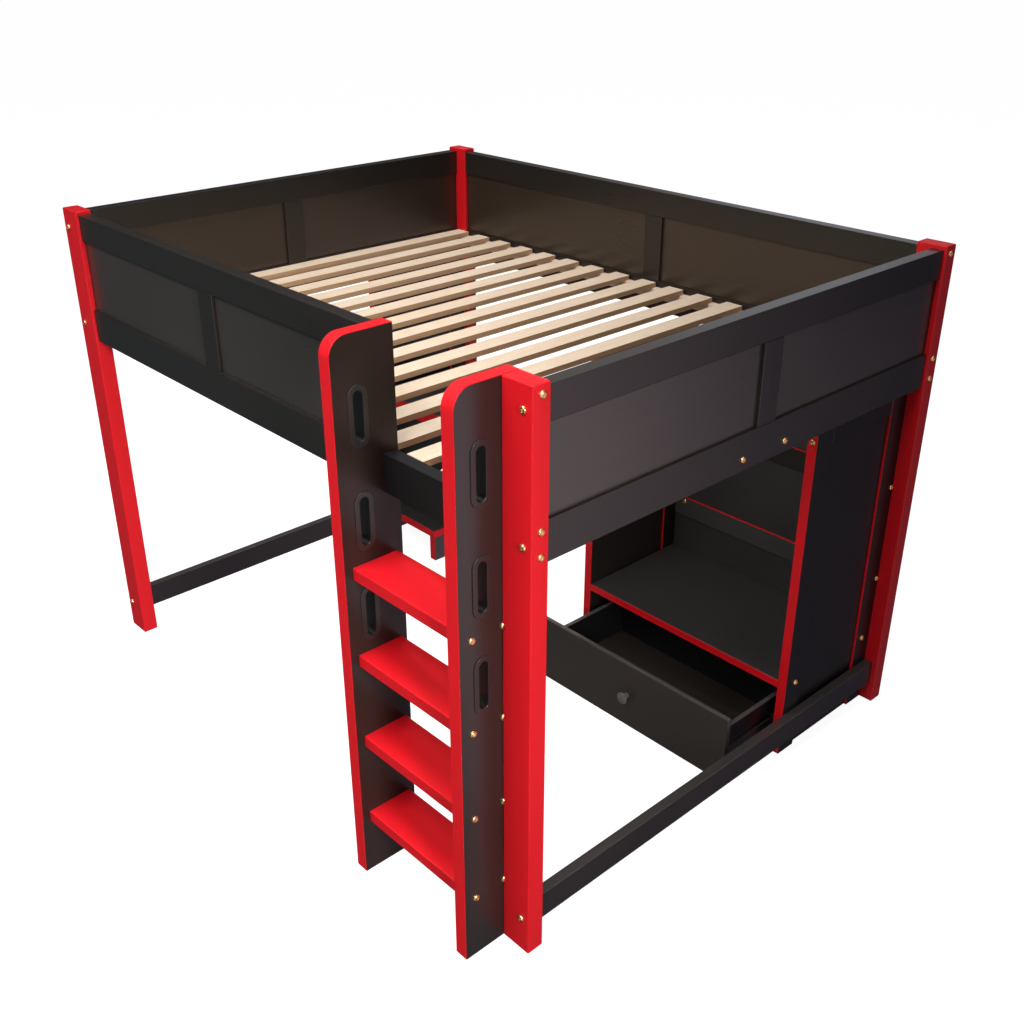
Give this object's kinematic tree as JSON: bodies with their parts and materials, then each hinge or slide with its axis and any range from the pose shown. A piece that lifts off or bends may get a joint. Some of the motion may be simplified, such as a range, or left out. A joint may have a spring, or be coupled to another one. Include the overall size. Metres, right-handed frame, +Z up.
{
  "type": "loft bed",
  "caption": "Red and black queen loft bed with slatted deck, ladder, panelled guards, cabinet with drawer and desk.",
  "frame": {"origin": "on the floor, at the middle of the whole footprint, ladder and bolt heads included", "axes": "+X along the bed towards the ladder end, +Y from the ladder side to the back, +Z up"},
  "size_m": [2.14, 1.762, 1.53],
  "materials": {
    "red_lacquer": "satin red lacquer on solid wood",
    "black_board": "satin black stain with a fine grain",
    "pine": "bare planed pine",
    "brass": "dull brass plate",
    "black_plastic": "satin black moulding"
  },
  "bodies": {
    "bed": {"back_lower_rail": "black_board", "back_panels": "black_board", "back_top_rail": "black_board", "cabinet_back_mid_rail": "black_board", "cabinet_back_panels": "black_board", "cabinet_back_upper_rail": "black_board", "cabinet_bolts": "brass", "cabinet_edge_bands": "red_lacquer", "cabinet_left_front_stile": "black_board", "cabinet_left_panel": "black_board", "cabinet_left_rear_stile": "black_board", "cabinet_left_top_rail": "black_board", "cabinet_right_front_stile": "black_board", "cabinet_right_panel": "black_board", "cabinet_right_rear_stile": "black_board", "cabinet_right_top_rail": "black_board", "cabinet_shelf": "black_board", "desk_edge_bands": "red_lacquer", "desk_end_front_stile": "black_board", "desk_end_panel": "black_board", "desk_end_rear_stile": "black_board", "desk_end_top_rail": "black_board", "desk_front_rail": "black_board", "desk_top": "black_board", "drawer_runners": "black_board", "entry_rail": "black_board", "frame_bolts": "brass", "front_lower_rail": "black_board", "front_panels": "black_board", "front_top_rail": "black_board", "guard_mullions": "black_board", "hand_hold_liners": "black_plastic", "ladder_edge_bands": "red_lacquer", "ladder_stile_left": "black_board", "ladder_stile_right": "black_board", "ladder_treads": "red_lacquer", "left_lower_rail": "black_board", "left_panels": "black_board", "left_top_rail": "black_board", "pedestal_base": "black_board", "pedestal_foot": "black_board", "pedestal_front": "black_board", "pedestal_side": "black_board", "post_back_left": "red_lacquer", "post_back_right": "red_lacquer", "post_front_left": "red_lacquer", "post_front_right": "red_lacquer", "right_lower_rail": "black_board", "right_panels": "black_board", "right_top_rail": "black_board", "slat_ledgers": "pine", "slats": "pine", "stretcher_left": "black_board", "stretcher_right": "black_board", "tread_bolts": "brass"},
    "drawer": {"drawer_front": "black_board", "drawer_sides": "black_board", "drawer_back": "black_board", "drawer_bottom": "black_board", "drawer_knob": "black_plastic"}
  },
  "joints": [
    {"name": "drawer_slide", "type": "slide", "parent": "bed", "child": "drawer", "axis": [0, -1, 0], "range_m": [-0.238, 0.06]}
  ]
}
